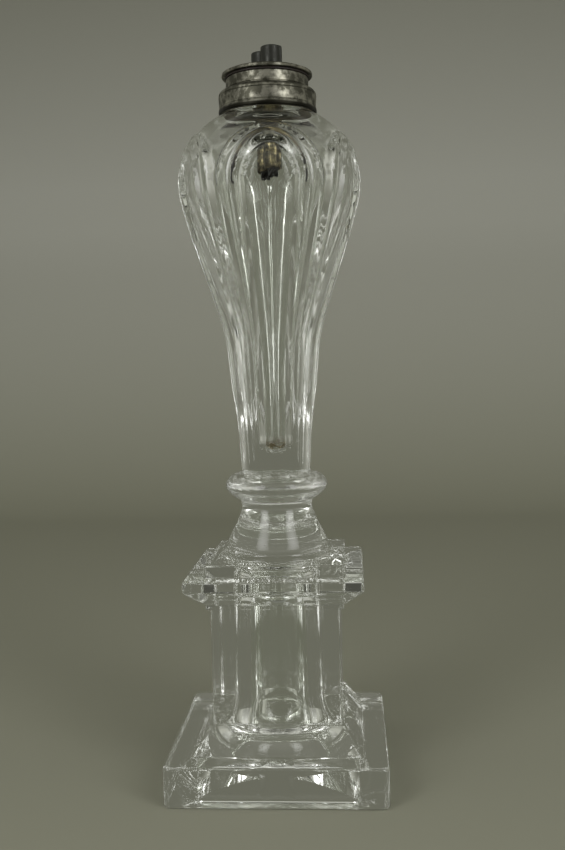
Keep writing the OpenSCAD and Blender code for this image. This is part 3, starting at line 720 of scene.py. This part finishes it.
def cut_thread(thing, radius, depth, low, high):
    """Raises a right-hand thread on a barrel between two heights, all in mm."""
    tree, given = new_geometry_tree(
        "cut_thread", Pitch=1.8 * MM, Depth=depth * MM, Barrel=radius * MM, Low=low * MM,
        High=high * MM, Run_out=0.9 * MM, Crest=0.08, Root=0.38, Metal=pewter)
    v = given.outputs
    place = add(tree, "GeometryNodeInputPosition")
    x, y, z = add(tree, "ShaderNodeSeparateXYZ", place).outputs
    level = add(tree, VECTOR_MATH, place, (1.0, 1.0, 0.0), operation="MULTIPLY")
    off = add(tree, MATH, add(tree, VECTOR_MATH, level, operation="LENGTH").outputs["Value"],
              v["Barrel"], operation="SUBTRACT")
    on_barrel = add(tree, MATH, add(tree, MATH, off, operation="ABSOLUTE"), 0.01 * MM,
                    operation="LESS_THAN")
    turns = add(tree, MATH, add(tree, MATH, y, x, operation="ARCTAN2"), 2 * math.pi,
                operation="DIVIDE")
    climb = add(tree, MATH, add(tree, MATH, z, v["Pitch"], operation="DIVIDE"), turns,
                operation="SUBTRACT")
    from_crest = add(tree, MATH, climb, 0.5, operation="PINGPONG")
    amount = add(tree, "ShaderNodeMapRange", from_crest, v["Crest"], v["Root"], 1.0, 0.0)
    for inward in (add(tree, MATH, z, v["Low"], operation="SUBTRACT"),
                   add(tree, MATH, v["High"], z, operation="SUBTRACT")):
        run_out = add(tree, "ShaderNodeMapRange", inward, 0.0, v["Run out"], 0.0, 1.0)
        amount = add(tree, MATH, amount, run_out, operation="MULTIPLY")
    push = add(tree, VECTOR_MATH, add(tree, VECTOR_MATH, level, operation="NORMALIZE"),
               operation="SCALE",
               sockets={"Scale": add(tree, MATH, amount, v["Depth"], operation="MULTIPLY").outputs[0]})
    cut = add(tree, "GeometryNodeSetPosition", v["Geometry"],
              sockets={"Selection": on_barrel.outputs[0], "Offset": push.outputs[0]})
    whole = add(tree, "GeometryNodeRealizeInstances", cut)
    dressed = add(tree, "GeometryNodeSetMaterial", whole, sockets={"Material": v["Metal"]})
    add(tree, "NodeGroupOutput", dressed)
    grow(thing, tree)
    seal(thing, smooth_angle=24)


# %% The collar
_, WASHER_LOW, SKIRT_R, _ = measure("collar")
SKIRT_TOP, COLLAR_NECK, COLLAR_NECK_R = FONT_TOP + 7, FONT_TOP + 8.4, 14.6
BORE_R, THREAD_DEPTH = 11.95, 0.43
skirt_seat = NECK_TOP + 0.2
outline = [
    (SKIRT_R - 0.9, FONT_TOP, 0.2), (SKIRT_R - 0.1, FONT_TOP, 0.7), (SKIRT_R, FONT_TOP + 1.0, 0.5),
    (SKIRT_R - 0.1, FONT_TOP + 1.9, 0.5), (SKIRT_R - 0.45, FONT_TOP + 2.1, 0.1),
    (SKIRT_R - 0.3, FONT_TOP + 2.4, 0.1), (SKIRT_R - 0.1, SKIRT_TOP - 0.9, 0.1), (SKIRT_R - 0.3, SKIRT_TOP - 0.75, 0.1),
    (SKIRT_R - 0.15, SKIRT_TOP - 0.6, 0.1)]
outline += [(COLLAR_NECK_R + 2.65 * math.cos(a), SKIRT_TOP - 0.4 + 1.8 * math.sin(a), 0)
            for a in np.linspace(0, math.pi / 2, 9)]
outline += [
    (COLLAR_NECK_R - 0.2, COLLAR_NECK + 0.3, 0.1), (COLLAR_NECK_R, COLLAR_NECK + 0.6, 0.1),
    (COLLAR_NECK_R, WASHER_LOW, 0.3), (BORE_R + 0.25, WASHER_LOW, 0.1)]
outline += barrel(BORE_R, WASHER_LOW - 0.3, skirt_seat + 0.3)
outline += [(BORE_R + 0.25, skirt_seat, 0.1), (SKIRT_R - 0.9, skirt_seat, 0.3)]
collar = lathe("collar_turned", outline, pewter)
cut_thread(collar, BORE_R, -THREAD_DEPTH, skirt_seat + 0.3, WASHER_LOW - 0.2)
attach(collar, "root")
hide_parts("collar")

# %% [markdown]
# ## Plaster and leather
# The collar is set on the glass neck in plaster of Paris, which has gone
# yellow-grey. A ring of leather between collar and burner keeps the fuel in.
# The oil has blackened it, and its cut edge is a little uneven.

# %% The plaster ring
plaster, tree, shader = new_material("aged_plaster", Base_Color=colour("#7d7463"), Roughness=0.9)
where = add(tree, "ShaderNodeTexCoord").outputs["Object"]
grain = add(tree, "ShaderNodeTexNoise", sockets={
    "Vector": where, "Scale": 1 / (0.5 * MM), "Detail": 4.0})
stain = add(tree, "ShaderNodeTexNoise", sockets={"Vector": where, "Scale": 1 / (4 * MM)})
tone = add(tree, "ShaderNodeMix", stain.outputs["Fac"], data_type="RGBA",
           sockets={6: colour("#8c8370"), 7: colour("#4c4436")})
tree.links.new(tone.outputs[2], shader.inputs["Base Color"])
bump = add(tree, "ShaderNodeBump", sockets={
    "Strength": 0.5, "Distance": 0.1 * MM, "Height": grain.outputs["Fac"]})
tree.links.new(bump.outputs[0], shader.inputs["Normal"])
cement = lathe("plaster_ring", [
    (NECK_R + 0.15, FONT_TOP, 0.15), (SKIRT_R - 1.05, FONT_TOP, 0.2),
    (SKIRT_R - 1.05, NECK_TOP, 0.2), (NECK_R + 0.15, NECK_TOP, 0.15)], plaster)
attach(cement, "root")
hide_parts("collar_cement")

# %% The leather washer
leather, tree, shader = new_material("oiled_leather", Roughness=0.55)
where = add(tree, "ShaderNodeTexCoord").outputs["Object"]
hide = add(tree, "ShaderNodeTexVoronoi", sockets={"Vector": where, "Scale": 1 / (0.5 * MM)})
worn = add(tree, "ShaderNodeTexNoise", sockets={"Vector": where, "Scale": 1 / (3 * MM), "Detail": 4.0})
tone = add(tree, "ShaderNodeMix", worn.outputs["Fac"], data_type="RGBA",
           sockets={6: colour("#120e0b"), 7: colour("#2e2117")})
tree.links.new(tone.outputs[2], shader.inputs["Base Color"])
bump = add(tree, "ShaderNodeBump", sockets={
    "Strength": 0.5, "Distance": 0.08 * MM, "Height": hide.outputs["Distance"]})
tree.links.new(bump.outputs[0], shader.inputs["Normal"])
washer = lathe("leather_ring", [
    (11.7, WASHER_LOW, 0.1), (WASHER_R, WASHER_LOW, 0.2), (WASHER_R, DISC_LOW, 0.2),
    (11.7, DISC_LOW, 0.1)], leather)
for vertex in washer.data.vertices:
    turn = math.atan2(vertex.co.y, vertex.co.x)
    vertex.co.xy *= 1 - 0.004 * (1 + math.sin(3 * turn) * math.sin(7 * turn + 1))
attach(washer, "washer")
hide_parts("leather_washer")

# %% [markdown]
# ## The burner
# One casting makes the domed disc and the screw plug. Two holes take the wick
# tubes, and a small one lets air in as the fuel goes down. The holes are real
# and are cut through the casting.

# %% Disc and plug
PLUG_LOW, DISC_TOP, DISC_R, _ = measure("burner_cap")
DISC_EDGE, PLUG_R, PLUG_BORE_R = DISC_LOW + 1.2, 10.95, 9.7
TUBE_FOOT, LIP, TUBE_R, _ = measure("wick_tube_front")
TUBE_WALL, TUBE_SEAT, VENT_R = 0.55, 0.1, 0.8
tube_places = {side: measure("wick_tube_" + side)[3] for side in ("front", "rear")}
front_x, front_y = np.array(tube_places["front"]) / np.linalg.norm(tube_places["front"])
vent_out = (PLUG_BORE_R + TUBE_R) / 2
vent_place = (-front_y * vent_out, front_x * vent_out)

outline = [(0, DISC_TOP, 0), (9.0, DISC_TOP, 0), (10.0, DISC_TOP, 0)]
outline += [(DISC_R - 0.6 - 4.8 * (1 - math.sin(a)), DISC_EDGE - 0.1 + 1.0 * math.cos(a), 0)
            for a in np.linspace(0.15, math.pi / 2, 8)]
outline += [(DISC_R - 0.5, DISC_EDGE - 0.2, 0.1), (DISC_R - 0.35, DISC_EDGE, 0.15),
            (DISC_R, DISC_EDGE - 0.1, 0.25), (DISC_R, DISC_LOW, 0.35), (PLUG_R + 0.15, DISC_LOW, 0.1)]
outline += barrel(PLUG_R, DISC_LOW - 0.2, PLUG_LOW + 0.4)
outline += [(PLUG_R - 0.4, PLUG_LOW, 0.1), (PLUG_BORE_R, PLUG_LOW, 0.2), (PLUG_BORE_R, DISC_LOW, 0.3), (0, DISC_LOW, 0)]
cap = lathe("burner_disc_and_plug", outline, pewter)
cut_thread(cap, PLUG_R, THREAD_DEPTH, PLUG_LOW + 0.4, DISC_LOW - 0.1)
print("widest plug:", round(PLUG_R + THREAD_DEPTH, 2), "narrowest bore:", round(BORE_R - THREAD_DEPTH, 2))


def drill(thing, place, radius, low, high):
    """Cuts a round hole with a sharp rim through a piece."""
    bit = lathe("drill", [(0, low, 0), (radius, low, 0), (radius, high, 0), (0, high, 0)],
                None, middle=place, count=64)
    cut = thing.modifiers.new("hole", "BOOLEAN")
    cut.object, cut.operation, cut.solver = bit, "DIFFERENCE", "EXACT"
    seen = thing.evaluated_get(bpy.context.evaluated_depsgraph_get())
    mesh = bpy.data.meshes.new_from_object(seen)
    thing.modifiers.clear()
    thing.data = mesh
    bpy.data.objects.remove(bit)


for place in tube_places.values():
    drill(cap, place, TUBE_R + TUBE_SEAT, DISC_LOW - 1, DISC_TOP + 1)
drill(cap, vent_place, VENT_R, DISC_LOW - 1, DISC_TOP + 1)
seal(cap, smooth_angle=24)
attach(cap, "burner")
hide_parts("burner_cap")

# %% [markdown]
# ## Wick tubes and solder
# Each tube is a strip of sheet brass, rolled until its edges lapped and soldered
# along the lap, which leaves a step from end to end. So the outside of the
# ring is not quite round: it grows by the lap in one turn. Flame and hand left
# the tubes blue-black above the disc, and fuel left them brown below it.

# %% Sooty brass, and the rolled tubes
tube_metal, tree, shader = aged_metal("sooty_brass", "#8f8464", "#3f392b", 0.32, 0.5, patch=3,
                                      bare_share=0.46)
up = add(tree, "ShaderNodeSeparateXYZ", add(tree, "ShaderNodeTexCoord").outputs["Object"]).outputs["Z"]
sooted = add(tree, "ShaderNodeMapRange", up, (DISC_TOP - 0.5) * MM, (DISC_TOP + 1.5) * MM)
oxide = shader.inputs["Base Color"].links[0].from_socket
blackened = add(tree, "ShaderNodeMix", sooted, data_type="RGBA",
                sockets={6: oxide, 7: colour("#22231c")})
tree.links.new(blackened.outputs[2], shader.inputs["Base Color"])
bright = add(tree, MATH, 1.0, add(tree, MATH, sooted, 0.55, operation="MULTIPLY"), operation="SUBTRACT")
tree.links.new(bright.outputs[0], shader.inputs["Metallic"])

LAP = 0.22


def lapped_ring(height, grown, seam, middle):
    """Outside of a rolled tube at one height: it is wider by the lap at its seam."""
    turn = np.arange(96) * 2 * math.pi / 96
    radius = TUBE_R + grown - LAP * (((turn - seam) / (2 * math.pi)) % 1)
    return np.column_stack((middle[0] + radius * np.sin(turn), middle[1] - radius * np.cos(turn),
                            np.full(96, height)))


SEAMS = {"front": math.radians(62), "rear": math.radians(-120)}
for side, middle in tube_places.items():
    outside = [(-0.3, TUBE_FOOT), (-0.09, TUBE_FOOT + 0.09), (0, TUBE_FOOT + 0.3)]
    outside += [(0, z) for z in np.linspace(TUBE_FOOT + 2, LIP - 1.2, 16)]
    outside += [(0, LIP - 0.35), (-0.1, LIP - 0.1), (-0.3, LIP)]
    rings = [lapped_ring(z, g, SEAMS[side], middle) for g, z in outside]
    rings += [round_ring(TUBE_R - TUBE_WALL + g, z, 96, middle) for g, z in (
        (0.05, LIP), (0, LIP - 0.1), (0, TUBE_FOOT + 0.1), (0.05, TUBE_FOOT))]
    tube = skin("rolled_tube_" + side, rings, tube_metal)
    seal(tube, smooth_angle=30)
    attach(tube, "burner")
    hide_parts("wick_tube_" + side)

# %% The solder round the tubes
solder_metal, *_ = aged_metal("dull_solder", "#8f8d86", "#45433f", 0.4, 0.55, patch=2.5, bare_share=0.5)


def joined(name, pieces):
    """Several pieces as one object with the material of the first."""
    mesh = bmesh.new()
    for piece in pieces:
        mesh.from_mesh(piece.data)
    whole = mesh_piece(name, [], [], pieces[0].data.materials[0])
    mesh.to_mesh(whole.data)
    mesh.free()
    for piece in pieces:
        bpy.data.objects.remove(piece)
    return whole


beads = []
SOLDER_W, SOLDER_H = 1.1, 1.1
fillet = [(TUBE_R - 0.15, DISC_TOP - 0.25, 0), (TUBE_R + SOLDER_W, DISC_TOP - 0.25, 0)]
fillet += [(TUBE_R + 0.1 + SOLDER_W * (1 - math.sin(a)), DISC_TOP + SOLDER_H * (1 - math.cos(a)), 0)
           for a in np.linspace(0.1, math.pi / 2, 7)]
fillet += [(TUBE_R - 0.15, DISC_TOP + SOLDER_H, 0)]
for side, middle in tube_places.items():
    beads.append(lathe("bead_" + side, fillet, solder_metal, middle=middle, count=72))
    for vertex in beads[-1].data.vertices:
        out = Vector((vertex.co.x - middle[0] * MM, vertex.co.y - middle[1] * MM, 0))
        turn = math.atan2(out.y, out.x)
        if out.length > (TUBE_R + 0.05) * MM:
            run_down = 1 - 0.16 * (1 + math.sin(2 * turn + 1) + 0.5 * math.sin(5 * turn))
            vertex.co.xy += out.normalized().xy * (run_down - 1) * (out.length - TUBE_R * MM)
solder = joined("solder_beads", beads)
seal(solder, smooth_angle=40)
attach(solder, "burner")
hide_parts("tube_solder")

# %% [markdown]
# ## Wicks
# Each wick is a loose rope of cotton: one strand in the middle and six laid
# round it. It fills its tube, hangs out below as a thinner tail and stops short
# of the lip. Every strand is the same screw line turned by one share of a turn,
# so Geometry Nodes copy one upright line and wind the copies. The flame charred
# the top, and on this lamp the tail has gone black too.

# %% Charred cotton
cotton, tree, shader = new_material("charred_cotton", Roughness=0.95)
shader.inputs["Sheen Weight"].default_value = 0.3
where = add(tree, "ShaderNodeTexCoord").outputs["Object"]
up = add(tree, "ShaderNodeSeparateXYZ", where).outputs["Z"]
from_tail = add(tree, "ShaderNodeMapRange", up, (TUBE_FOOT + 1) * MM, (TUBE_FOOT + 6) * MM)
from_top = add(tree, "ShaderNodeMapRange", up, (LIP - 3) * MM, (LIP - 8) * MM)
clean = add(tree, MATH, from_tail, from_top, operation="MULTIPLY")
fibres = add(tree, "ShaderNodeTexNoise", sockets={
    "Vector": where, "Scale": 1 / (0.35 * MM), "Detail": 5.0, "Distortion": 1.2})
char = add(tree, "ShaderNodeMix", fibres.outputs["Fac"], data_type="RGBA",
           sockets={6: colour("#0b0a09"), 7: colour("#2a2723")})
tone = add(tree, "ShaderNodeMix", clean, data_type="RGBA",
           sockets={6: char.outputs[2], 7: colour("#8d7448")})
tree.links.new(tone.outputs[2], shader.inputs["Base Color"])
bump = add(tree, "ShaderNodeBump", sockets={
    "Strength": 0.8, "Distance": 0.2 * MM, "Height": fibres.outputs["Fac"]})
tree.links.new(bump.outputs[0], shader.inputs["Normal"])

# %% Wind the strands
tree, given = new_geometry_tree(
    "twist_strands", Strands_round_core=6, Pitch=11.0 * MM, Strand_radius=1.05 * MM, Lay=2.03,
    Tail_share=0.7, Tail_top=TUBE_FOOT * MM, Tail_run=1.0 * MM, Tail_length=3.0 * MM,
    Frayed_by=0.7 * MM, Seed=4, Cotton=cotton)
v = given.outputs
lines = add(tree, "GeometryNodeMeshToCurve", v["Geometry"])
strands = add(tree, "GeometryNodeDuplicateElements", lines, domain="SPLINE", sockets={
    "Amount": add(tree, MATH, v["Strands round core"], 1.0, operation="ADD").outputs[0]})
number = strands.outputs["Duplicate Index"]
up = add(tree, "ShaderNodeSeparateXYZ", add(tree, "GeometryNodeInputPosition")).outputs["Z"]
full = add(tree, "ShaderNodeMapRange", add(tree, MATH, up, v["Tail top"], operation="SUBTRACT"),
           0.0, v["Tail run"], v["Tail share"], 1.0)
thick = add(tree, MATH, full, v["Strand radius"], operation="MULTIPLY")
turn = add(tree, MATH, add(tree, MATH, up, v["Pitch"], operation="DIVIDE"),
           add(tree, MATH, number, v["Strands round core"], operation="DIVIDE"), operation="ADD")
turn = add(tree, MATH, turn, 2 * math.pi, operation="MULTIPLY")
out = add(tree, MATH, add(tree, MATH, number, 0.5, operation="GREATER_THAN"),
          add(tree, MATH, thick, v["Lay"], operation="MULTIPLY"), operation="MULTIPLY")
luck = add(tree, "FunctionNodeRandomValue", sockets={"ID": number, "Seed": v["Seed"]})
fray = add(tree, MATH, luck.outputs[1], v["Frayed by"], operation="MULTIPLY")
hanging = add(tree, MATH, v["Tail top"], up, operation="SUBTRACT")
loose = add(tree, "ShaderNodeMapRange", hanging, 0.0, v["Tail length"])
offset = add(tree, "ShaderNodeCombineXYZ",
             add(tree, MATH, add(tree, MATH, turn, operation="COSINE"), out, operation="MULTIPLY"),
             add(tree, MATH, add(tree, MATH, turn, operation="SINE"), out, operation="MULTIPLY"),
             add(tree, MATH, fray, loose, operation="MULTIPLY"))
wound = add(tree, "GeometryNodeSetPosition", strands.outputs["Geometry"],
            sockets={"Offset": offset.outputs[0]})
section = add(tree, "GeometryNodeCurvePrimitiveCircle", sockets={"Resolution": 14, "Radius": 1.0})
rope = add(tree, "GeometryNodeCurveToMesh", wound, section, thick, True)
whole = add(tree, "GeometryNodeRealizeInstances", rope)
dressed = add(tree, "GeometryNodeSetMaterial", whole, sockets={"Material": v["Cotton"]})
add(tree, "NodeGroupOutput", dressed)

for side, middle in tube_places.items():
    low, high, _, _ = measure("wick_" + side)
    heights = np.linspace(low + 0.1, high - 0.1, 110)
    line = bpy.data.meshes.new("wick_line")
    line.from_pydata([(middle[0] * MM, middle[1] * MM, z * MM) for z in heights],
                     [(i, i + 1) for i in range(len(heights) - 1)], [])
    wick = bpy.data.objects.new("cotton_wick_" + side, line)
    scene.collection.objects.link(wick)
    grow(wick, tree)
    seal(wick, smooth_angle=50)
    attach(wick, side + "_wick")
    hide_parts("wick_" + side)
